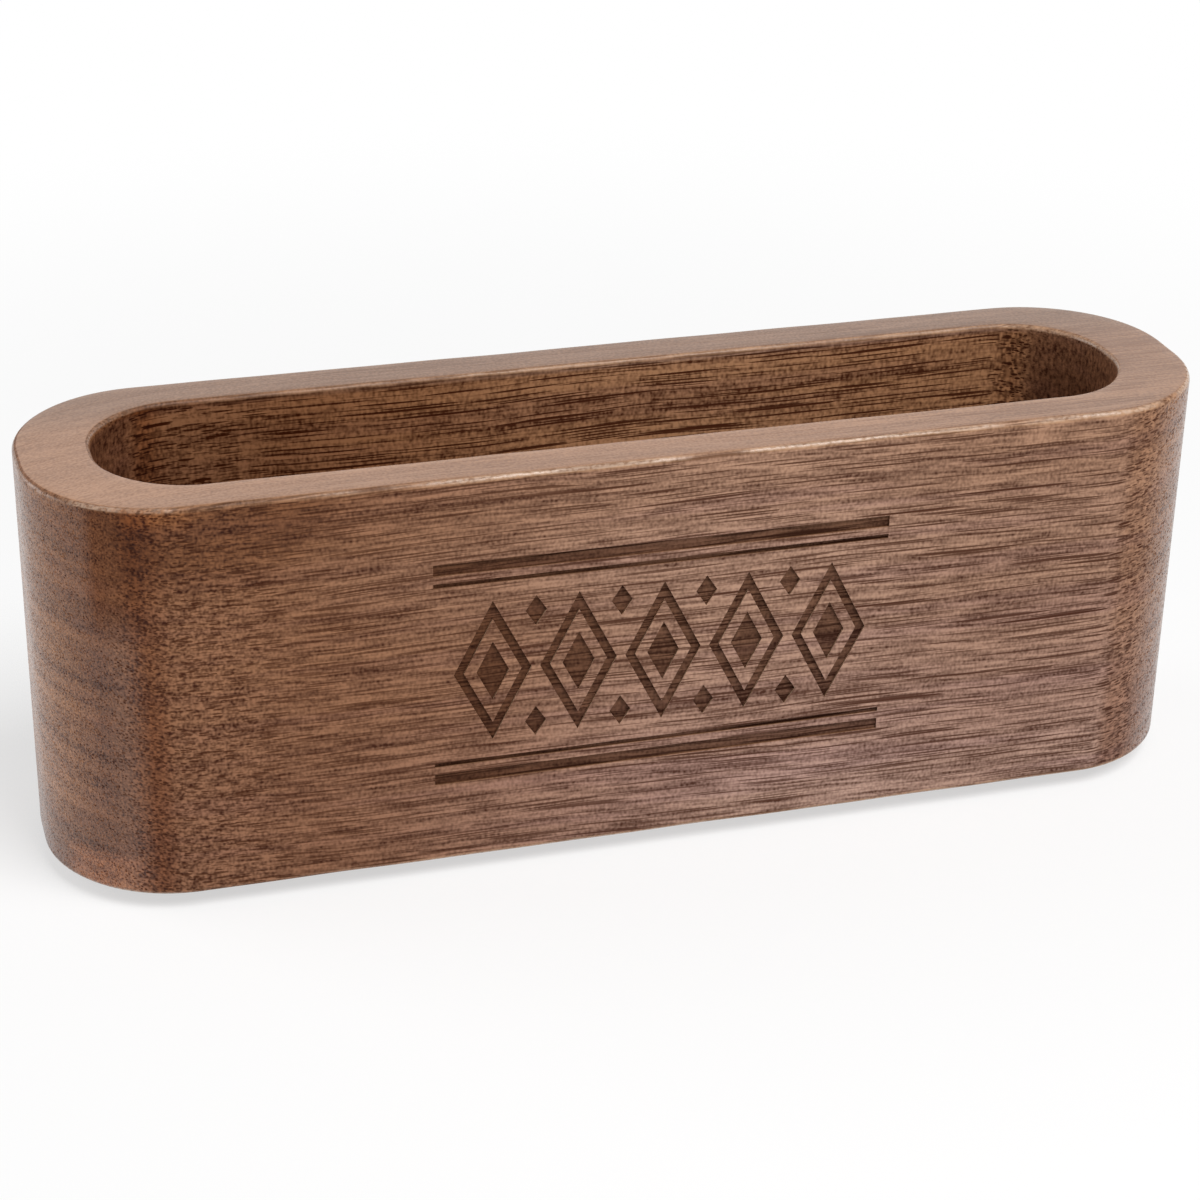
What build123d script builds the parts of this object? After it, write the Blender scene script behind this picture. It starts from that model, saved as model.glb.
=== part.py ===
"""Desk holder for a stack of business cards, in millimetres, +Z up.

One block of walnut has a round-ended card slot routed into its top, and stands on four
low rubber feet stuck to its underside. The origin lies on the desk, under the middle of
the block, with the long side along X and the face towards the user at -Y.
"""
import os

from build123d import *

# Card slot: the cards stand on edge in it, long side down
card_length = 88.9
card_end_clearance = 4.35
slot_width = 18.6
slot_depth = 32.0
slot_end_flat = 1.4
slot_mouth_radius = 0.45

# Wood left round the slot
end_wall = 6.7
side_wall = 4.85
floor_thickness = 6.1
block_end_flat = 3.3
block_edge_radius = 0.55

# Rubber feet, stuck on flat
foot_diameter = 8.0
foot_height = 1.5
foot_edge_radius = 0.5
foot_end_margin = 8.5
foot_side_margin = 2.6

# Sizes that follow from those above
slot_length = card_length + 2 * card_end_clearance
block_length = slot_length + 2 * end_wall
block_depth = slot_width + 2 * side_wall
block_height = slot_depth + floor_thickness
slot_corner_radius = (slot_width - slot_end_flat) / 2
block_corner_radius = (block_depth - block_end_flat) / 2
slot_floor_z = foot_height + floor_thickness
foot_x = block_length / 2 - foot_end_margin - foot_diameter / 2
foot_y = block_depth / 2 - foot_side_margin - foot_diameter / 2


def walnut_block():
    """The block: a rounded outline raised to its height, its edges eased, the slot cut from the top."""
    outline = RectangleRounded(block_length, block_depth, block_corner_radius)
    block = Pos(0, 0, foot_height) * extrude(outline, block_height)
    layers = block.edges().group_by(Axis.Z)
    block = fillet(layers[0] + layers[-1], block_edge_radius)
    slot_outline = RectangleRounded(slot_length, slot_width, slot_corner_radius)
    block -= Pos(0, 0, slot_floor_z) * extrude(slot_outline, slot_depth)
    rim = block.faces().sort_by(Axis.Z)[-1]
    return fillet(rim.inner_wires()[0].edges(), slot_mouth_radius)


def rubber_foot(x, y):
    """A low round pad from the desk up to the underside, its lower edge rounded."""
    pad = extrude(Circle(foot_diameter / 2), foot_height)
    pad = fillet(pad.edges().sort_by(Axis.Z)[0], foot_edge_radius)
    return Pos(x, y, 0) * pad


pieces = {"body": walnut_block()}
for end, x in (("left", -foot_x), ("right", foot_x)):
    for side, y in (("front", -foot_y), ("rear", foot_y)):
        pieces[f"foot_{side}_{end}"] = rubber_foot(x, y)

os.makedirs("parts", exist_ok=True)
for node, piece in pieces.items():
    export_step(piece, f"parts/{node}.step")
    print(node, round(piece.volume, 1), "mm3")
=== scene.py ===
# %% [markdown]
# # A walnut holder for business cards
# The real object is one block of walnut with rounded ends. A router has cut a deep,
# round-ended slot into its top, and the cards stand in that slot. Four low rubber feet are
# stuck to the underside. The CAD model gives the sizes, and this lesson adds the looks:
# eased and slightly worn edges, a burnt ornament on the front, and wood that is cut from
# one solid piece, so that its grain agrees on every face.

# %% Load the frame
import math

import bmesh
import bpy
import numpy as np
from mathutils import Matrix, Vector


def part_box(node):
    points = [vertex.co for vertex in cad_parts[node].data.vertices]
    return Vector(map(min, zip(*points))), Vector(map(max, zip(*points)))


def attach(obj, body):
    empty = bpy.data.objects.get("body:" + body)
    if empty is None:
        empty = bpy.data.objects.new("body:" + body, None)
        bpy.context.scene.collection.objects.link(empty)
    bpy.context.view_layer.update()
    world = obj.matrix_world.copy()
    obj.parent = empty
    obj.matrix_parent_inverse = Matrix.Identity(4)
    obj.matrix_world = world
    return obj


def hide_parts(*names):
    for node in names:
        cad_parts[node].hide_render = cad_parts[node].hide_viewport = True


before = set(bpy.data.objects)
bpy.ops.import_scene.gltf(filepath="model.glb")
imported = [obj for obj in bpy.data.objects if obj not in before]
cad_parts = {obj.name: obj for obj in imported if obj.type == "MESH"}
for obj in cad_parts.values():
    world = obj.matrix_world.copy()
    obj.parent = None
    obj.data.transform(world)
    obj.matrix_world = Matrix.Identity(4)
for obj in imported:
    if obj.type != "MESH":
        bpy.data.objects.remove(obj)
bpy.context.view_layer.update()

mm = 0.001

# %% [markdown]
# ## The camera
# The photograph looks down on the holder from the front and a little from its left. A
# camera can be placed by eye, but a holder has long straight edges, and those fix a camera
# well: the values here make the block's outline fall on the photographed one. The lens is
# given as the focal length in pixels of the square picture, so it doesn't depend on the
# render size.

# %% Camera
view_azimuth, view_elevation, view_roll = -16.88, 26.28, 1.05
view_distance = 277.6 * mm
aim_right, aim_up = -1.75 * mm, -1.49 * mm
picture_px = 1200
focal_px = 2916.7
sensor_width = 36
nearest_seen = 10 * mm

block_low, block_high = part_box("body")
block_middle = (block_low + block_high) / 2


def direction(azimuth, elevation):
    """Unit vector at an azimuth to the right of the front and at an elevation, in degrees."""
    turn, climb = math.radians(azimuth), math.radians(elevation)
    level = math.cos(climb)
    return Vector((math.sin(turn) * level, -math.cos(turn) * level, math.sin(climb)))


back = direction(view_azimuth, view_elevation)
level_right = Vector((0, 0, 1)).cross(back).normalized()
level_up = back.cross(level_right)
roll = math.radians(view_roll)
right = math.cos(roll) * level_right + math.sin(roll) * level_up
up = math.cos(roll) * level_up - math.sin(roll) * level_right

camera_data = bpy.data.cameras.new("camera")
camera_data.sensor_width = sensor_width
camera_data.lens = focal_px / picture_px * sensor_width
camera_data.clip_start = nearest_seen
camera = bpy.data.objects.new("camera", camera_data)
camera.matrix_world = Matrix((right, up, back)).transposed().to_4x4()
camera.location = block_middle + back * view_distance + right * aim_right + up * aim_up
bpy.context.scene.collection.objects.link(camera)
bpy.context.scene.camera = camera
print("camera at", [round(x / mm) for x in camera.location], "mm, lens", round(camera_data.lens, 1))

# %% [markdown]
# ## The block's outline
# Seen from above, the block and its slot are both rounded rectangles. One way to draw
# one is to bevel a rectangle. Here a point on the outline is written as a formula
# instead: it starts from a corner's centre and goes one radius outwards. Along a straight
# side the centre slides and the direction stays, and round a corner the direction turns and
# the centre stays. So any outline with the same centres differs only in its radius, and
# point number n on one outline faces point number n on every other. The long sides have an
# odd number of points, so that no edge of the mesh runs through a corner of the ornament.

# %% Outline
side_points = 143
end_points = 5
corner_points = 24


def outline_path():
    """Sign of the corner centre in x and in y, and outward angle, at each point of the outline.

    Runs anticlockwise from the front left corner: front side, right end, rear side, left
    end, each followed by a quarter turn about the corner that ends it."""
    sign_x, sign_y, angle = [], [], []
    quarter = math.pi / 2
    corners = [(-1, -1), (1, -1), (1, 1), (-1, 1)]
    for k, (count, start) in enumerate(zip([side_points, end_points] * 2, corners)):
        stop = corners[(k + 1) % 4]
        run = np.linspace(0, 1, count, endpoint=False)
        turn = np.linspace(0, 1, corner_points, endpoint=False)
        sign_x += [start[0] + (stop[0] - start[0]) * run, np.full(corner_points, stop[0])]
        sign_y += [start[1] + (stop[1] - start[1]) * run, np.full(corner_points, stop[1])]
        angle += [np.full(count, (k - 1) * quarter), (k - 1 + turn) * quarter]
    return np.concatenate(sign_x), np.concatenate(sign_y), np.concatenate(angle)


sign_x, sign_y, outward = outline_path()


def outline(half_x, half_y, corner, outset=0):
    """Points of a rounded rectangle: corner centre + (corner radius + outset) * direction."""
    x = sign_x * (half_x - corner) + (corner + outset) * np.cos(outward)
    y = sign_y * (half_y - corner) + (corner + outset) * np.sin(outward)
    return np.stack([x, y], axis=-1)


print(len(outward), "points round the outline")

# %% [markdown]
# ## The block's sizes
# The outside comes from the CAD box. The slot could be given by its own length and width,
# but a maker sets the fence of the router by the wall that has to be left, so the walls are
# the values here. Neither end is a full half circle: a short flat is left between the two
# corners, longer on the block than in the slot.

# %% Block sizes
end_wall = 6.7 * mm
side_wall = 4.85 * mm
floor_thickness = 6.1 * mm
block_end_flat = 3.3 * mm
slot_end_flat = 1.4 * mm

half_length, half_depth = (block_high - block_low).xy / 2
slot_half_length, slot_half_width = half_length - end_wall, half_depth - side_wall
slot_floor = block_low.z + floor_thickness
block_shape = (half_length, half_depth, half_depth - block_end_flat / 2)
slot_shape = (slot_half_length, slot_half_width, slot_half_width - slot_end_flat / 2)
print("slot in mm:", [round(2 * x / mm, 1) for x in (slot_half_length, slot_half_width)])

# %% [markdown]
# ## The block's rings
# The block is one closed skin: underside, eased lower edge, wall, eased upper edge, rim,
# eased slot mouth, slot wall and slot floor. A box with bevels would give even edges. Here
# each part of the skin is a few rings, one above or inside another, so the whole skin is a
# profile carried round the outline. Sanding by hand never leaves an edge quite even, so the
# rounding of each edge swells and shrinks a little along its length, and its highlight
# breaks up as it does on the real one.

# %% Block rings
edge_radius = 0.55 * mm
mouth_radius = 0.45 * mm
edge_unevenness = 0.12
edge_rings, wall_rings, rim_rings, cap_rings = 8, 12, 6, 7


def uneven(seed, waves=(3, 5, 8, 13, 21)):
    """A smooth closed curve about 1: 1 + a share of a sum of sines with random phases."""
    rng = np.random.default_rng(seed)
    turn = np.linspace(0, 2 * math.pi, len(outward), endpoint=False)
    phase = rng.uniform(0, 2 * math.pi, len(waves))
    ripple = np.sin(np.outer(turn, waves) + phase).sum(axis=1) / math.sqrt(len(waves))
    return 1 + edge_unevenness * ripple


def ring(points, height):
    """An outline lifted to a height, which may differ from point to point."""
    return np.column_stack([points, np.broadcast_to(height, len(points))])


def flat_cap(points, height, shares):
    """Rings that shrink an outline onto its middle line.

    Each is (1 - share) * point + share * nearest middle point."""
    reach = points[:, 0].max() - points[:, 1].max()
    middle = np.column_stack([np.clip(points[:, 0], -reach, reach), np.zeros(len(points))])
    return [ring(points + share * (middle - points), height) for share in shares]


def block_rings():
    """Every ring of the skin, from the middle of the underside to the middle of the slot floor.

    An eased edge of radius r is a quarter circle: r (1 - sin a) along and r (1 - cos a) up."""
    low, high = block_low.z, block_high.z
    lower = edge_radius * uneven(seed=3)
    upper = edge_radius * uneven(seed=11)
    mouth = mouth_radius * uneven(seed=7)
    outer_edge, inner_edge = outline(*block_shape, -upper), outline(*slot_shape, mouth)
    quarter = np.linspace(0, math.pi / 2, edge_rings)
    wall_shares = np.linspace(0, 1, wall_rings)[1:]

    rings = flat_cap(outline(*block_shape, -lower), low, np.linspace(1, 0, cap_rings)[:-1])
    rings += [ring(outline(*block_shape, lower * (np.sin(a) - 1)), low + lower * (1 - np.cos(a)))
              for a in quarter]
    rings += [ring(outline(*block_shape), low + lower + share * (high - upper - low - lower))
              for share in wall_shares[:-1]]
    rings += [ring(outline(*block_shape, upper * (np.cos(a) - 1)), high - upper * (1 - np.sin(a)))
              for a in quarter]
    rings += [ring(outer_edge + share * (inner_edge - outer_edge), high)
              for share in np.linspace(0, 1, rim_rings)[1:-1]]
    rings += [ring(outline(*slot_shape, mouth * (1 - np.sin(a))), high - mouth * (1 - np.cos(a)))
              for a in quarter]
    rings += [ring(outline(*slot_shape), high - mouth + share * (slot_floor - high + mouth))
              for share in wall_shares]
    rings += flat_cap(outline(*slot_shape), slot_floor, np.linspace(0, 1, cap_rings)[1:])
    return np.stack(rings)


skin = block_rings()
print("block skin:", skin.shape[0], "rings of", skin.shape[1], "points")

# %% [markdown]
# ## From rings to a mesh
# Quads join each ring to the next, and each ring closes on itself. Where a cap shrinks to its
# middle line, many points fall on one another, and a mesh with such points has faces without
# area. So every mesh is cleaned before use: points that coincide are merged, faces without
# area are dropped, and all faces are turned outwards.

# %% Block mesh
same_point = 1e-3 * mm


def skin_faces(rows, columns):
    """Quads between neighbouring rings of a grid that closes on itself along its columns."""
    row, column = np.meshgrid(np.arange(rows - 1), np.arange(columns), indexing="ij")
    after = (column + 1) % columns
    corners = [row * columns + column, row * columns + after,
               (row + 1) * columns + after, (row + 1) * columns + column]
    return np.stack(corners, axis=-1).reshape(-1, 4)


def clean(mesh):
    """Merge coinciding points, drop faces without area and turn the faces outwards."""
    work = bmesh.new()
    work.from_mesh(mesh)
    bmesh.ops.remove_doubles(work, verts=work.verts, dist=same_point)
    bmesh.ops.triangulate(work, faces=[face for face in work.faces if len(face.verts) > 4])
    bmesh.ops.dissolve_degenerate(work, edges=work.edges, dist=same_point)
    bmesh.ops.recalc_face_normals(work, faces=work.faces)
    work.to_mesh(mesh)
    work.free()


def mesh_from(name, points, faces):
    """A clean mesh of those points and quads."""
    mesh = bpy.data.meshes.new(name)
    mesh.from_pydata(points.reshape(-1, 3), [], faces.tolist())
    clean(mesh)
    return mesh


def piece_from(mesh):
    """An object at the origin that shows the mesh."""
    piece = bpy.data.objects.new(mesh.name, mesh)
    bpy.context.scene.collection.objects.link(piece)
    return piece


block = piece_from(mesh_from("walnut_block", skin, skin_faces(*skin.shape[:2])))
print("block before engraving:", len(block.data.polygons), "faces")

# %% [markdown]
# ## The burnt ornament
# The front of the real holder is engraved by laser, which burns the wood away to about a
# quarter of a millimetre and leaves it dark. A picture of the ornament on a flat front
# would lack that step, so the shapes are cut out of the block. Each shape is a prism that
# stands a little proud of the front. The design is an old plain one, a row of lozenges
# between rules.

# %% Ornament shapes
burn_depth = 0.25 * mm
burn_height = block_middle.z
lozenge_count = 5
lozenge_pitch = 8.0 * mm
lozenge_half = np.array([3.6, 7.0]) * mm
lozenge_line = 0.26
kernel_share = 0.42
pip_half = np.array([1.0, 1.5]) * mm
pip_rise = 5.6 * mm
rule_half_length = 21.4 * mm
rules = [(9.0 * mm, 0.22 * mm), (10.5 * mm, 0.55 * mm)]

diamond = np.array([(1, 0), (0, 1), (-1, 0), (0, -1)])
box_corners = np.array([(1, -1), (1, 1), (-1, 1), (-1, -1)])


def prism(loop, hole=None):
    """A closed prism through the front face over a loop of (x, z) corners.

    Four loops of points make it, front and back of the rim and of the hole, and quads join
    each to the next. Without a hole, the inner loops shrink to the middle."""
    inner = loop.mean(axis=0) + 0 * loop if hole is None else hole
    front, rear = block_low.y - burn_depth, block_low.y + burn_depth
    rows = [(loop, front), (loop, rear), (inner, rear), (inner, front), (loop, front)]
    return np.stack([np.column_stack([p[:, 0], np.full(len(p), y), p[:, 1]]) for p, y in rows])


def ornament_prisms():
    """All prisms of the ornament, about the middle of the front face."""
    centre = np.array([0, burn_height])
    places = (np.arange(lozenge_count) - (lozenge_count - 1) / 2) * lozenge_pitch
    gaps = (places[1:] + places[:-1]) / 2
    lozenge = diamond * lozenge_half
    prisms = []
    for x in places:
        at = centre + (x, 0)
        prisms.append(prism(at + lozenge, at + lozenge * (1 - lozenge_line)))
        prisms.append(prism(at + lozenge * kernel_share))
    for x in gaps:
        prisms += [prism(centre + (x, side * pip_rise) + diamond * pip_half) for side in (-1, 1)]
    for rise, half_width in rules:
        bar = box_corners * (rule_half_length, half_width)
        prisms += [prism(centre + (0, side * rise) + bar) for side in (-1, 1)]
    return prisms


prisms = ornament_prisms()
print("ornament:", len(prisms), "prisms")

# %% [markdown]
# ## The engraving
# A Boolean modifier could stay on the block, but the block has to be one finished mesh with
# clean faces. So all prisms go into one cutter, the modifier works out the difference once,
# and its result becomes the block's own mesh. Edges sharper than the crease angle stay sharp,
# and everything rounder is shaded smooth.

# %% Engraving
crease_angle = math.radians(32)


def cut(piece, prisms):
    """Subtract the prisms from a piece and keep the result as its mesh."""
    shapes = np.stack(prisms)
    count, rows, columns = shapes.shape[:3]
    faces = skin_faces(rows, columns) + (np.arange(count) * rows * columns)[:, None, None]
    cutter = piece_from(mesh_from("cutter", shapes, faces.reshape(-1, 4)))
    boolean = piece.modifiers.new("cut", "BOOLEAN")
    boolean.operation = "DIFFERENCE"
    boolean.solver = "EXACT"
    boolean.object = cutter
    finished = piece.evaluated_get(bpy.context.evaluated_depsgraph_get())
    cut_mesh = bpy.data.meshes.new_from_object(finished)
    piece.modifiers.clear()
    piece.data = cut_mesh
    clean(cut_mesh)
    bpy.data.objects.remove(cutter)


cut(block, prisms)
block.data.name = "walnut_block"
block.data.shade_smooth()
block.data.set_sharp_from_angle(angle=crease_angle)
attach(block, "root")
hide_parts("body")
print("block after engraving:", len(block.data.polygons), "faces")

# %% [markdown]
# ## The rubber feet
# Each foot is a low moulded pad with a rounded lower edge, a shallow dish underneath and a
# thin film of adhesive on top. A cylinder with a bevel would lack the dish and the film. A
# turned shape needs only its profile, carried round the foot's own axis.

# %% Feet
foot_points = 72
dish_rings, foot_edge_rings = 8, 9
film_inset = 0.18 * mm
film_thickness = 0.15 * mm
dish_radius = 2.4 * mm
dish_depth = 0.18 * mm
foot_edge = 0.5 * mm
foot_crease = math.radians(40)


def foot_profile(radius, height):
    """(radius, height) pairs from the middle of the dish to the middle of the film.

    The dish is depth * (1 - share squared) squared, and the lower edge is a quarter circle."""
    share = np.linspace(0, 1, dish_rings)
    dish = np.column_stack([share * dish_radius, dish_depth * (1 - share ** 2) ** 2])
    turn = np.linspace(0, math.pi / 2, foot_edge_rings)
    edge = np.column_stack([radius - foot_edge * (1 - np.sin(turn)), foot_edge * (1 - np.cos(turn))])
    shoulder, film = height - film_thickness, radius - film_inset
    top = np.array([(radius, shoulder), (film, shoulder), (film, height), (0, height)])
    return np.concatenate([dish, edge, top])


def turned(profile, x, y, bottom):
    """A profile carried round a vertical axis: (x + r cos t, y + r sin t, bottom + h)."""
    turn = np.linspace(0, 2 * math.pi, foot_points, endpoint=False)
    r, h = profile[:, :1], profile[:, 1:]
    return np.stack([x + r * np.cos(turn), y + r * np.sin(turn), bottom + h + 0 * turn], axis=-1)


feet = []
for node in sorted(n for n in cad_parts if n.startswith("foot_")):
    low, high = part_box(node)
    middle = (low + high) / 2
    profile = foot_profile((high.x - low.x) / 2, high.z - low.z)
    foot_rings = turned(profile, middle.x, middle.y, low.z)
    name = node.replace("foot_", "rubber_foot_")
    foot = piece_from(mesh_from(name, foot_rings, skin_faces(*foot_rings.shape[:2])))
    foot.data.shade_smooth()
    foot.data.set_sharp_from_angle(angle=foot_crease)
    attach(foot, "root")
    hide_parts(node)
    feet.append(foot)
print("feet:", [foot.name for foot in feet])

# %% [markdown]
# ## Shader maths
# A material is a network of nodes, and long networks are hard to read when every node is
# added by hand. This class wraps one output socket. Sums on it add Math nodes, and one
# method adds any other node, sets it up and links its inputs. The rest are short names for
# the nodes that this wood needs again and again.

# %% Wire class


class Wire:
    """One output socket of a material, with Python's arithmetic on it."""

    def __init__(self, tree, socket):
        self.tree = tree
        self.socket = socket

    def node(self, kind, settings=None, inputs=None, out=0):
        """Add a node: its settings first, then each input set to a value or linked to a wire."""
        made = self.tree.nodes.new(kind)
        for name, value in (settings or {}).items():
            if name == "stops":
                ramp = made.color_ramp.elements
                while len(ramp) < len(value):
                    ramp.new(1)
                for stop, (position, colour) in zip(ramp, value):
                    stop.position = position
                    stop.color = (*colour, 1)
            else:
                setattr(made, name, value)
        for name, value in (inputs or {}).items():
            if isinstance(value, Wire):
                self.tree.links.new(value.socket, made.inputs[name])
            else:
                made.inputs[name].default_value = value
        return Wire(self.tree, made.outputs[out])

    def math(self, operation, *others):
        """A Math node with this wire as its first input."""
        return self.node("ShaderNodeMath", {"operation": operation}, dict(enumerate((self, *others))))

    def __add__(self, other):
        return self.math("ADD", other)

    def __sub__(self, other):
        return self.math("SUBTRACT", other)

    def __rsub__(self, other):
        return self.math("MULTIPLY_ADD", -1, other)

    def __mul__(self, other):
        return self.math("MULTIPLY", other)

    __radd__ = __add__
    __rmul__ = __mul__

    def toward(self, other, share):
        """This number moved to another by a share from 0 to 1."""
        return self + (other - self) * share

    def step(self, low, high):
        """0 at low, 1 at high and a smooth change between them. low may lie above high."""
        settings = {"interpolation_type": "SMOOTHSTEP"}
        inputs = {"Value": self, "From Min": low, "From Max": high}
        return self.node("ShaderNodeMapRange", settings, inputs)

    def window(self, start, full, hold, stop):
        """0 up to start, 1 from full to hold, 0 again from stop, and smooth between them."""
        return self.step(start, full) * self.step(stop, hold)

    def times(self, factors, start=0.0):
        """A vector with each component multiplied by its own factor, and a start added."""
        inputs = {0: self, 1: factors, 2: (start,) * 3}
        return self.node("ShaderNodeVectorMath", {"operation": "MULTIPLY_ADD"}, inputs)

    def noise(self, waves, detail=2.0, start=0.0):
        """Noise from about -1 to 1, with that many waves for each millimetre along x, y and z."""
        inputs = {"Vector": self.times(waves, start), "Scale": 1.0, "Detail": detail}
        return self.node("ShaderNodeTexNoise", {}, inputs) * 2 - 1

    def blend(self, other, share, mode="MIX"):
        """This colour mixed with another by a share from 0 to 1."""
        settings = {"data_type": "RGBA", "blend_type": mode}
        return self.node("ShaderNodeMix", settings, {0: share, 6: self, 7: other}, out=2)


print("a wire can", [name for name in vars(Wire) if not name.startswith("_")])

# %% [markdown]
# ## Materials
# Every material here starts alike: a Principled shader, and a place on the object to work
# from. The place is in millimetres, so that a number in a pattern is a size on the real
# object. UV coordinates would need an unwrapped mesh, and the pattern would break at its
# seams. Object coordinates fill the whole solid.

# %% Material helpers


def split(vector):
    """The x, y and z wires of a vector wire."""
    parts = vector.node("ShaderNodeSeparateXYZ", {}, {0: vector}).socket.node
    return [Wire(vector.tree, socket) for socket in parts.outputs]


def joined(x, y, z):
    """One vector wire from three number wires."""
    return x.node("ShaderNodeCombineXYZ", {}, {0: x, 1: y, 2: z})


def new_material(name):
    """A material, its shader, and its place in millimetres and its normal as wires."""
    material = bpy.data.materials.new(name)
    material.use_nodes = True
    tree = material.node_tree
    source = tree.nodes.new("ShaderNodeTexCoord")
    place = Wire(tree, source.outputs["Object"]).times((1 / mm,) * 3)
    return material, tree.nodes["Principled BSDF"], place, Wire(tree, source.outputs["Normal"])


def bumped(height, strength, depth):
    """A normal that follows a height, which counts for that depth."""
    inputs = {"Strength": strength, "Distance": depth, "Height": height}
    return height.node("ShaderNodeBump", {}, inputs)


def feed(shader, inputs):
    """Set or link inputs of the final shader."""
    for name, value in inputs.items():
        if isinstance(value, Wire):
            value.tree.links.new(value.socket, shader.inputs[name])
        else:
            shader.inputs[name].default_value = value


def dress(pieces, material):
    """Give the pieces that material alone."""
    for piece in pieces:
        piece.data.materials.clear()
        piece.data.materials.append(material)


walnut, walnut_shader, place, facing = new_material("walnut")
print("material", walnut.name, "has its place and its normal")

# %% [markdown]
# ## Walnut: along and across the trunk
# Wood looks right on every side only if its pattern is solid. So nothing here is painted
# on a face: colour is worked out at a point in space. The trunk ran along x, and its middle
# lay far below the block. Growth layers are circles about it that wander a little, so they
# draw long level bands on the front and shallow arcs on the ends. Near the left end the
# fibres bend towards the front, so every streak is short there before the corner begins.
# A noise that is stretched along x alone starts and ends its streaks in upright rows. The
# row shift sets each row off from the next, as bricks are. Three sets of coordinates come
# out: grain has the bend and the shift, wide the shift alone, and cross the bend alone.

# %% Walnut coordinates
trunk_y, trunk_z = 9.0, -95.0
bend_from, bend_rate = -22.0, 1.6e-4
twist_height, twist_rate = 15, 0.0007
row_shift = 5.5

px, py, pz = split(place)
across, rise = py - trunk_y, pz - trunk_z
slow_wander = place.noise(waves=(0.011, 0.03, 0.03)) * 1.4
mid_wander = place.noise(waves=(0.05, 0.12, 0.12), detail=0) * 0.2
quick_wander = place.noise(waves=(0.20, 0.50, 0.50), detail=0) * 0.05
twist = px * (pz - twist_height) * twist_rate
wander = slow_wander + mid_wander + quick_wander - twist
layer = (across * across + rise * rise).math("SQRT") + wander
bent = (bend_from - px).math("MAXIMUM", 0)
swung = py + bent * bent * bent * bend_rate
run = px + layer * row_shift - py * row_shift
grain = joined(run, swung, layer)
wide = joined(run, py, layer)
cross = joined(px, swung, layer)
print("trunk axis at y", trunk_y, "and z", trunk_z, "mm")

# %% [markdown]
# ## Walnut: bands, fibres and cells
# The colour of the wood changes on every scale, from bands as wide as a finger to single
# cells. One noise with many octaves would look like a cloud, because wood is stretched more
# at some scales than at others. So each scale has its own noise, with its own number of waves
# along and across the fibres. Rays are fine upright ticks, dust and grit are cells. Noises
# of about the same size start from different values, so that they share no plane of their
# lattice, where all of them would be grey at once.

# %% Walnut grain
patches = place.noise(waves=(0.025, 0.05, 0.06), detail=1)
bands = wide.noise(waves=(0.004, 0.03, 0.24), detail=1)
rings = wide.noise(waves=(0.004, 0.03, 0.38))
figure = wide.noise(waves=(0.02, 0.30, 0.50), detail=1, start=0.19)
streaks = wide.noise(waves=(0.03, 1.0, 1.1), detail=0, start=0.37)
threads = grain.noise(waves=(0.08, 2.2, 2.5), detail=0, start=0.71)
fibres = grain.noise(waves=(0.30, 3.6, 4.0), detail=0, start=0.53)
rays = cross.noise(waves=(3.4, 3.4, 1.8), detail=0)
dust = cross.noise(waves=(3.8, 3.8, 3.8), detail=0)
grit = cross.noise(waves=(5.6, 5.6, 5.6), detail=0, start=0.29)
print("walnut grain: bands, rings, figure, streaks, threads, fibres, rays, dust and grit")

# %% [markdown]
# ## Walnut: the vessels
# Vessels are thin tubes along the trunk. Cut lengthwise they are the dark dashes of the
# front, cut across they are the dots of the ends, and the dashes shorten by themselves as the
# surface turns round a corner. A noise can't give them, because it swells into blots. In a
# Voronoi texture every cell has one point, and the space near that point, stretched along
# the fibres, is one vessel of limited width. Each cell's own random number makes some
# vessels wider and darker than others. They are deeper in the greyer wood to the right, and
# where the fibres bend.

# %% Walnut vessels
vessel_scatter = 0.85
vessel_core = 0.72
palest_vessel = 0.50
width_wander = 0.03


def vessels(waves, width, spread, start):
    """1 in the middle of a vessel and 0 outside, from the distance to the nearest cell point.

    A smooth step of that distance, times a share that the cell's random number gives."""
    inputs = {"Vector": grain.times(waves, start), "Scale": 1.0, "Randomness": vessel_scatter}
    cells = grain.node("ShaderNodeTexVoronoi", {}, inputs)
    chance = split(Wire(grain.tree, cells.socket.node.outputs["Color"]))[0]
    edge = chance * spread + streaks * width_wander + width
    return cells.step(edge, edge * vessel_core) * (palest_vessel + (1 - palest_vessel) * chance)


coarse = vessels(waves=(0.060, 3.0, 3.4), width=0.20, spread=0.26, start=0.43)
fine = vessels(waves=(0.10, 4.4, 4.9), width=0.23, spread=0.26, start=0.83)
drift = (px + patches * 12).step(-34, 6)
near_bend = px.step(-33, -41)
deep_coarse = coarse * (0.65 + drift * 0.40 + near_bend * 0.10)
deep_fine = fine * (0.75 + drift * 0.20 + near_bend * 0.15)
pores = deep_coarse.math("MAXIMUM", deep_fine)
print("walnut vessels: two sizes")

# %% [markdown]
# ## Walnut: which way the surface was cut
# The same wood looks different where it was worked differently. Where the surface starts to
# slant across the fibres at a corner it drinks more finish and turns darker and redder, and
# further round, where the fibres are cut across, it is smooth and dense. The rim was sanded
# finest. The slot is rough from the router and has hardly any lacquer. These could be
# separate materials on picked faces, but then each would end in a hard line. Each is a mask
# from 0 to 1 instead, worked out from the place and the normal.

# %% Walnut masks
mask_blur = 0.1
slot_margin = 0.2
floor_below, floor_above = 0.3, 0.1
mouth_margin = 0.1

nx, nz = split(facing)[::2]
lean = nx.math("ABSOLUTE")
tilt = nz.math("ABSOLUTE")
slant = lean.window(0.06, 0.32, 0.36, 0.52)
end_grain = lean.step(0.36, 0.62)


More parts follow.
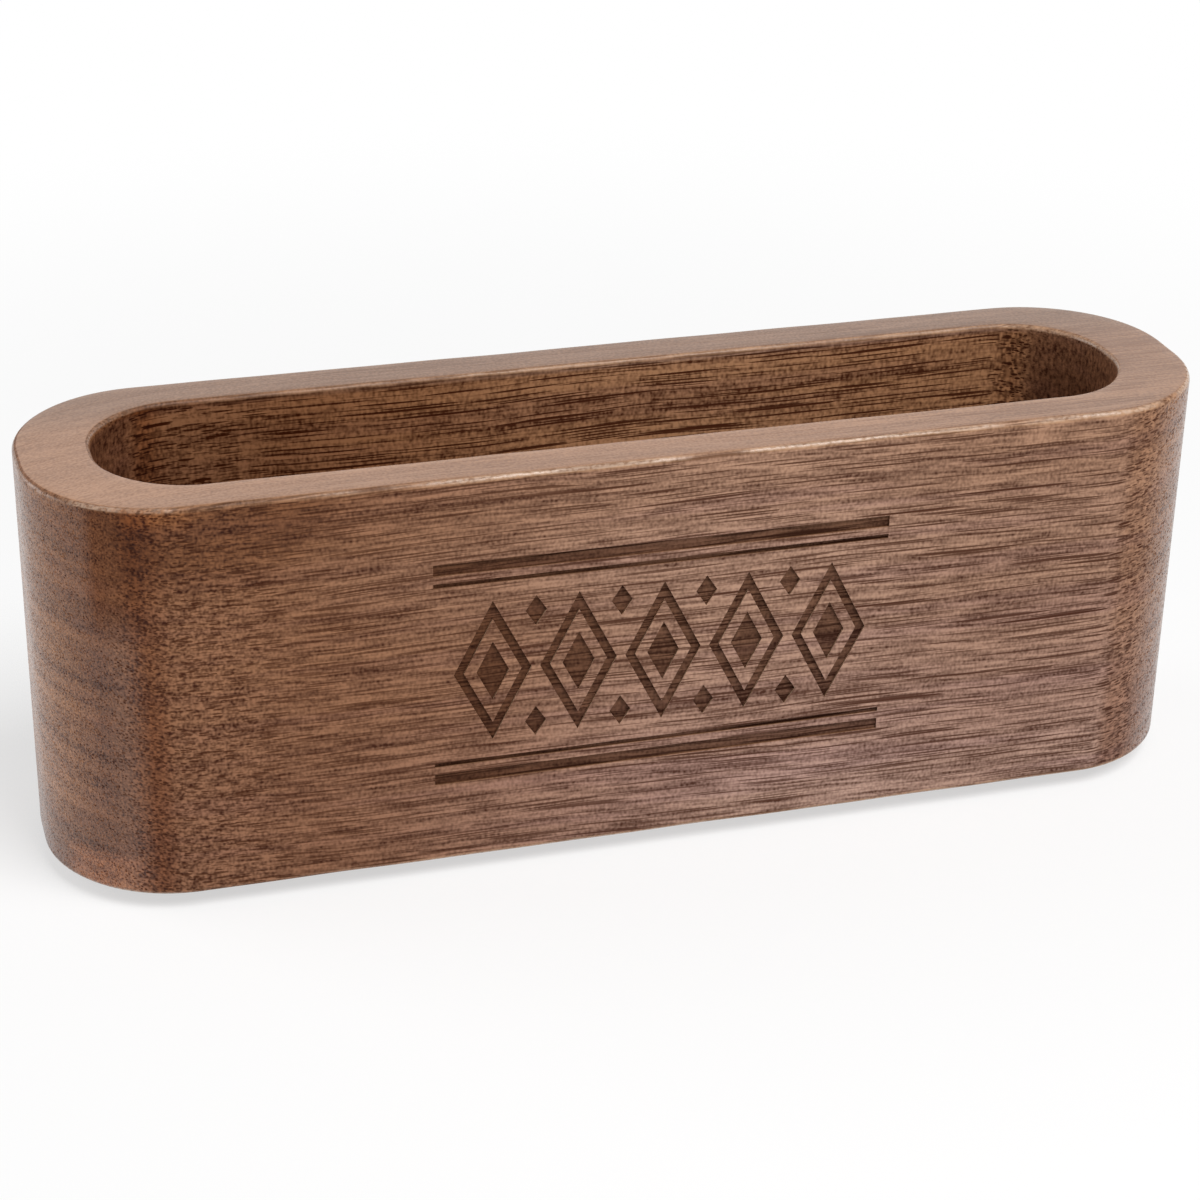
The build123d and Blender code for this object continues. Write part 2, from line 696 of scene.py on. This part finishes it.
def inside_outline(half_x, half_y, corner, margin):
    """1 inside a rounded rectangle about the z axis and a margin in millimetres round it.

    There the distance past the corner centres is under the corner radius and the margin."""
    ax = (px.math("ABSOLUTE") - (half_x - corner) / mm).math("MAXIMUM", 0)
    ay = (py.math("ABSOLUTE") - (half_y - corner) / mm).math("MAXIMUM", 0)
    edge = corner / mm + margin
    return (ax * ax + ay * ay).math("SQRT").step(edge, edge - mask_blur)


below_rim = pz.step((block_high.z - mouth_radius) / mm, (block_high.z - 2 * mouth_radius) / mm)
above_floor = pz.step(slot_floor / mm - floor_below, slot_floor / mm - floor_above)
in_slot = inside_outline(*slot_shape, slot_margin) * below_rim * above_floor
outside = 1 - in_slot
rim = nz.step(0.90, 0.985) * outside
torn = slant * in_slot * (0.6 + rays * 1.6)
print("walnut masks: slant, end grain, slot, rim, torn slot ends")

# %% [markdown]
# ## Walnut: worn edges, a painted highlight and burnt lines
# Hands and sandpaper wear an edge paler than the faces beside it, and its crest is polished,
# but only in patches. Where the upper crests catch the lamp, in the middle and at the right of
# the front and at its left corner, a pale painted highlight is laid into the colour as well. A
# thin strip of another material would be even, so the edges are found by the tilt of the
# surface and broken up by noise. The laser has charred the bottom of each line, and that is
# found by its depth behind the front.

# %% Walnut edges
eased = tilt.window(0.05, 0.30, 0.90, 0.985) * outside
crest = tilt.window(0.25, 0.48, 0.86, 0.96) * outside
mouth = inside_outline(*slot_shape, mouth_radius / mm + mouth_margin)
patchy = place.noise(waves=(0.10, 0.3, 0.3)).step(-0.42, 0.0)
flecks = place.noise(waves=(2.2, 3.5, 3.5)).step(-0.30, 0.15)
# where the crests are polished and also take the painted highlight
polished_and_highlit = px.step(-36, -16).math("MAXIMUM", px.window(-53, -51, -45, -43))
worn = eased * (0.4 + 0.5 * patchy) * (0.40 + 0.60 * px.step(-40, -10))
glint = crest * patchy * (0.25 + 0.75 * flecks) * polished_and_highlit * (1 - mouth * 0.75)

depth = py - block_low.y / mm
rule_end, rule_rise = rule_half_length / mm, rules[-1][0] / mm
beside = px.math("ABSOLUTE").step(rule_end + 1, rule_end + 0.5)
above = (pz - burn_height / mm).math("ABSOLUTE").step(rule_rise + 2, rule_rise + 1.5)
burnt = depth.window(0.05, 0.16, 0.6, 1.2) * beside * above
print("walnut edges: eased, crest, worn, glint, and the burnt ornament")

# %% [markdown]
# ## Walnut: zones of the two ends
# The left end is the more varied: dull and dark at the top of its corner, and paler along its
# foot. Further round it is painted lighter towards its outline, which is painted sheen and
# light that the end catches there, and the top edge at its corner has a painted highlight.
# The right end is redder and darker near its foot, and there is a dark spot at the top of the
# front near the left corner. The cause of the other zones isn't known. Each zone is a window
# in height, times a window in how far the surface leans to the end, so it has soft borders
# and stays on the wood from every side.

# %% Walnut zones
left_half = px.step(20, -20)
left_round = left_half * outside
right_round = lean.step(0.12, 0.24) * px.step(20, 43) * outside
painted_sheen_far_round = lean.step(0.62, 1.0) * left_round * pz.step(1.5, 7.5)
dull = lean.window(0.24, 0.34, 0.58, 0.70) * pz.step(25, 31) * left_round
turning = lean.window(0.14, 0.22, 0.28, 0.36) * pz.step(24, 19) * left_round
painted_light_mid_end = lean.step(0.60, 0.70) * pz.window(6, 11, 22, 29) * left_round
low_end = lean.window(0.28, 0.56, 0.78, 0.92) * pz.step(6.0, 4.4) * left_round
top_edge = pz.step(37.0, 38.6) * tilt.step(0.90, 0.75)
painted_highlight_top_corner = lean.step(0.48, 0.34) * px.step(-41, -44) * top_edge * left_round
spot_x, spot_z = (px + 41) * 0.07, (pz - 39) * 0.10
spot = (spot_x * spot_x + spot_z * spot_z + patches * 0.5).step(1.0, 0.1) * outside * (1 - end_grain)
print("walnut zones: six at the left end, one at the right end, one spot")

# %% [markdown]
# ## Walnut: darkness
# All the grain adds up to one number, the darkness, which will mix a pale brown with a dark
# one. Each face weighs the grain differently. The sides show fibres and vessels, the slot
# wall more rays, and the ends rings and fine grit. On the rim the lacquer has filled the
# vessels, so broad bands and soft lines are left. A ring grows darker through its year and
# then breaks off, which is the fractional part of a slowly rising number.

# %% Walnut darkness
ground = (0.405 + bands * 0.14 + figure * 0.12 + streaks * 0.16 + threads * 0.16
          + fibres * 0.56 + rays * 0.22 + dust * (0.34 + near_bend * 0.26))
inner = (0.37 + bands * 0.22 + figure * 0.20 + streaks * 0.34 + threads * 0.32
         + fibres * 0.42 + rays * 0.46 + dust * 0.36)
sides = ground.toward(inner, in_slot)
sides = sides.toward(0.95 + in_slot * 0.35, pores)
year = (layer * 0.40 + rings * 0.60 + dust * 0.08).math("FRACT")
late = year.window(0.15, 0.90, 0.93, 1.0)
ends = (0.40 + late * 0.18 + rings * 0.28 + bands * 0.16 + rays * (0.16 + in_slot * 0.44)
        + (dust * 0.22 + grit * 0.60 + fine * 0.28) * (1 - in_slot * 0.5))
darkness = sides.toward(ends, end_grain)
lines = streaks * 0.25 + threads * 0.50 + fibres * 0.50 + pores * 0.40
lined = 0.4 + 0.6 * patches.step(-0.15, 0.25)
rim_darkness = 0.48 + bands * 0.60 + figure * 0.50 + lines * lined + dust * 0.60
print("walnut darkness: sides, slot, ends and rim")

# %% [markdown]
# ## Walnut: colour
# The two browns drift along the block, from a red walnut at the left to a greyer one at the
# right. The rim and the worn edges have browns of their own, and the rim's is paler partly as
# painted light on the top face. Over these lie tints, each a colour that multiplies the brown
# as far as its mask goes. A colour ramp for each zone would do the same, but tints keep the
# grain below them, and a list of them is easy to change. Some tints are painted shade and
# light, as their notes say. The order counts: tints of the sides come before the rim's own
# brown, and the others after it.

# %% Walnut colour
low_down = pz.step(26, 4)
slot_end = end_grain * in_slot
# painted highlight: the pale colour laid on the lit parts of the upper crests
painted_highlight_colour = (0.640, 0.460, 0.340, 1)
painted_highlight_share = 0.45


def two_browns(pale, dark, share):
    """A pale brown mixed with a dark one by a share from 0 to 1."""
    inputs = {0: share, 6: (*pale, 1), 7: (*dark, 1)}
    return share.node("ShaderNodeMix", {"data_type": "RGBA"}, inputs, out=2)


def tinted(colour, tints):
    """A colour multiplied by each tint in turn, as far as that tint's mask goes."""
    for tint, mask in tints:
        colour = colour.blend((*tint, 1), mask, "MULTIPLY")
    return colour


left_brown = two_browns((0.332, 0.156, 0.079), (0.045, 0.008, 0.000), darkness)
right_brown = two_browns((0.480, 0.285, 0.196), (0.070, 0.022, 0.010), darkness)
# the rim's brown, paler partly as painted light on the top face
rim_brown_and_painted_light = two_browns((0.404, 0.212, 0.117), (0.235, 0.111, 0.056), rim_darkness)
worn_brown = two_browns((0.460, 0.262, 0.150), (0.180, 0.085, 0.042), darkness)

side_tints = [
    ((0.96, 0.95, 1.02), figure.step(-0.05, 0.35)),  # cooler where the figure is dark
    ((0.93, 0.90, 0.86), px.step(16, 32)),  # the right third, redder
    ((0.97, 0.98, 1.06), low_down),  # cooler towards the foot
    ((1.04, 1.08, 1.15), low_down * px.step(0, 30)),  # more so at the right
    ((0.96, 0.93, 0.88), pz.step(30, 36) * outside),  # redder towards the top
    ((1.09, 1.13, 1.13), pz.step(10, 4) * px.step(-1, 8) * lean.step(0.25, 0.10)),  # pale foot
    ((0.99, 0.96, 0.90), right_round),  # right end, redder
    ((0.87, 0.82, 0.79), right_round * pz.step(15, 9)),  # and darker near its foot
    ((0.70, 0.62, 0.54), spot),  # dark spot by the left corner
]
# painted shade on the rim, at its rear, its front edge and its right part
rim_painted_shades = [
    ((0.75, 0.79, 0.85), rim * py.step(2, 11)),  # rear of the rim
    ((0.88, 0.89, 0.92), rim * py.step(-10, -13.5)),  # its front edge
    ((0.91, 0.92, 0.93), rim * px.step(15, 50)),  # its right part
]
end_tints = [
    ((0.80, 0.67, 0.56), slant * (1 - rim) * (1 - px.step(0, 40) * 0.65)),  # start of a corner
    ((0.95, 0.88, 0.82), end_grain * outside),  # fibres cut across
    ((0.94, 0.90, 0.87), end_grain * left_half * outside),  # more so at the left
    # painted sheen: the left end lighter towards its outline
    ((1.48, 1.60, 1.58), painted_sheen_far_round),
    ((0.84, 0.77, 0.70), dull),
    ((0.92, 0.86, 0.82), turning),
    # painted light: the left end lighter further round, at mid height
    ((1.25, 1.31, 1.34), painted_light_mid_end),
    ((1.70, 1.66, 1.58), low_end),
    # painted highlight on the top edge at the left front corner
    ((1.50, 1.50, 1.35), painted_highlight_top_corner),
]
slot_tints = [
    ((0.94, 1.03, 1.28), in_slot * px.step(-14, -38)),  # left part of the slot, greyer
    ((0.68, 0.63, 0.65), slot_end),  # round ends of the slot
    # torn grain, and painted shade lower down in the slot's round ends
    ((0.66, 0.62, 0.60), torn.math("MAXIMUM", slot_end * pz.step(37, 29))),  # torn or deep
]
last_tints = [
    ((1.11, 0.96, 0.71), in_slot),  # no lacquer, so yellower
    ((0.40, 0.33, 0.28), burnt),  # charred by the laser
]

brown = tinted(left_brown.blend(right_brown, drift), side_tints)
brown = tinted(brown.blend(rim_brown_and_painted_light, rim), rim_painted_shades + end_tints + slot_tints)
# the worn edges, then the painted highlight on the crests
brown = brown.blend(worn_brown, worn).blend(painted_highlight_colour, glint * painted_highlight_share)
brown = tinted(brown, last_tints)
tint_count = len(side_tints + rim_painted_shades + end_tints + slot_tints + last_tints)
print("walnut colour: four pairs of browns and", tint_count, "tints")

# %% [markdown]
# ## Walnut: lacquer
# Satin lacquer lies over the wood. A rougher or smoother shader alone would change the wood's
# own gloss, so the lacquer is a separate thin coat, and only its weight changes: little on
# the sides, where it sank in, most on the rim, the ends and the polished crests, and none in
# the slot and the burnt lines. The open vessels are left as small hollows in the surface,
# which a bump gives.

# %% Walnut lacquer
side_coat, rim_coat, end_coat, glint_coat, slot_end_coat = 0.12, 0.63, 0.80, 0.80, 0.4
thread_height = 0.15
hollow_strength, hollow_depth = 0.30, 0.06 * mm

bare = in_slot.math("MAXIMUM", burnt)
lacquer = end_grain.toward(lean.step(0.26, 0.46) * (1 - dull), left_half)
coat = side_coat + rim * rim_coat + lacquer * end_coat + glint * glint_coat
coat = coat.math("MINIMUM", 1) * (1 - bare) * (1 - pores * (1 - rim))
coat = coat + slot_end * pz.step(31, 38) * slot_end_coat
feed(walnut_shader, {
    "Base Color": brown,
    "Roughness": 0.45 + threads * 0.05 + pores * 0.15 + bare * 0.25,
    "Specular IOR Level": 0.08,
    "Coat Weight": coat,
    "Coat Roughness": 0.25,
    "Normal": bumped(threads * thread_height - pores, hollow_strength, hollow_depth),
})
dress([block], walnut)
print("walnut has", len(walnut.node_tree.nodes), "nodes")

# %% [markdown]
# ## Rubber
# The feet are black rubber, which is never quite even: it is a little paler where it has
# bloomed, and its surface has a fine moulded grain. Plain black would do from afar. Two
# noises, a broad one for the bloom and a fine one for the grain, hold up close by as well.

# %% Rubber shader
fresh_rubber, bloomed_rubber = (0.014, 0.014, 0.015), (0.035, 0.034, 0.034)
pebble_strength, pebble_depth = 0.3, 0.04 * mm

rubber, rubber_shader, foot_place = new_material("foot_rubber")[:3]
bloom = foot_place.noise(waves=(0.5, 0.5, 0.5), detail=3)
pebble = foot_place.noise(waves=(9, 9, 9), detail=2)
stops = [(0.3, fresh_rubber), (0.8, bloomed_rubber)]
feed(rubber_shader, {
    "Base Color": bloom.node("ShaderNodeValToRGB", {"stops": stops}, {0: bloom * 0.5 + 0.5}),
    "Roughness": 0.62 + bloom * 0.08,
    "Normal": bumped(pebble, pebble_strength, pebble_depth),
})
dress(feet, rubber)
print("rubber on", len(feet), "feet")

# %% [markdown]
# ## The floor
# The photograph looks as if it was taken on white card in a white tent. A floor that is only
# white and lit would come out grey. So a camera ray sees it partly as plain white, more so
# further out, and it keeps only a faint shadow, while every other ray but a mirrored one meets
# an ordinary matt surface.

# %% Floor
floor_half = 2.0
floor_drop = 0.05 * mm
floor_white = 0.6
fade_from, fade_to = 0.07, 0.22
card_grey = (0.92, 0.92, 0.92, 1)
white = (1, 1, 1, 1)

floor_mesh = bpy.data.meshes.new("floor")
floor_points = [(x * floor_half, y * floor_half, -floor_drop) for x, y in box_corners]
floor_mesh.from_pydata(floor_points, [], [(0, 1, 2, 3)])
floor = piece_from(floor_mesh)


def new_tree(owner, output_kind):
    """An empty node tree: 1 on the rays that see a background and 0 on others, and the output."""
    owner.use_nodes = True
    tree = owner.node_tree
    tree.nodes.clear()
    path = tree.nodes.new("ShaderNodeLightPath").outputs
    looks, mirrored, through = [Wire(tree, path[f"Is {kind} Ray"])
                                for kind in ("Camera", "Glossy", "Transmission")]
    return (looks + mirrored + through).math("MINIMUM", 1), tree.nodes.new(output_kind)


card = bpy.data.materials.new("white_card")
seen, card_output = new_tree(card, "ShaderNodeOutputMaterial")
floor_place = seen.node("ShaderNodeTexCoord", out="Object")
away = floor_place.node("ShaderNodeVectorMath", {"operation": "LENGTH"}, {0: floor_place}, out="Value")
plain_share = seen * (floor_white + away.step(fade_from, fade_to) * (1 - floor_white))
matt = seen.node("ShaderNodeBsdfDiffuse", {}, {"Color": card_grey})
plain = seen.node("ShaderNodeEmission", {}, {"Color": white, "Strength": 1.0})
surface = seen.node("ShaderNodeMixShader", {}, {0: plain_share, 1: matt, 2: plain})
feed(card_output, {"Surface": surface})
dress([floor], card)
print("floor", 2 * floor_half, "m wide")

# %% [markdown]
# ## Light
# In a tent, light comes softly from everywhere. The world gives that even part, dim on the
# object and plain white where a camera or a gloss sees it. World light alone would leave the
# shapes flat, so two square softboxes are added: a strong one high on the right of the front,
# and a weak one low on the left, which lifts the left end.

# %% World and lamps
tent_level = 0.26

world = bpy.data.worlds.new("tent")
bpy.context.scene.world = world
seen, world_output = new_tree(world, "ShaderNodeOutputWorld")
dim_tent = seen.node("ShaderNodeBackground", {}, {"Color": white, "Strength": tent_level})
white_tent = seen.node("ShaderNodeBackground", {}, {"Color": white, "Strength": 1.0})
surface = seen.node("ShaderNodeMixShader", {}, {0: seen, 1: dim_tent, 2: white_tent})
feed(world_output, {"Surface": surface})


def softbox(name, azimuth, elevation, distance, side, watts):
    """A square area lamp that faces the block from a direction in degrees."""
    towards = direction(azimuth, elevation)
    lamp = bpy.data.lights.new(name, "AREA")
    lamp.shape = "SQUARE"
    lamp.size = side
    lamp.energy = watts
    holder = bpy.data.objects.new(name, lamp)
    holder.location = block_middle + towards * distance
    holder.rotation_euler = towards.to_track_quat("Z", "Y").to_euler()
    bpy.context.scene.collection.objects.link(holder)


softbox("key", azimuth=28, elevation=59, distance=0.75, side=0.45, watts=5.2)
softbox("left_fill", azimuth=-118, elevation=20, distance=0.7, side=0.45, watts=1.3)
bpy.context.scene.view_settings.view_transform = "Standard"
print("tent level", tent_level, "and", len(bpy.data.lights), "softboxes")

# %% [markdown]
# ## Finish
# The dressed holder has to keep the size of the CAD model, or it wouldn't fit where the part
# is used.
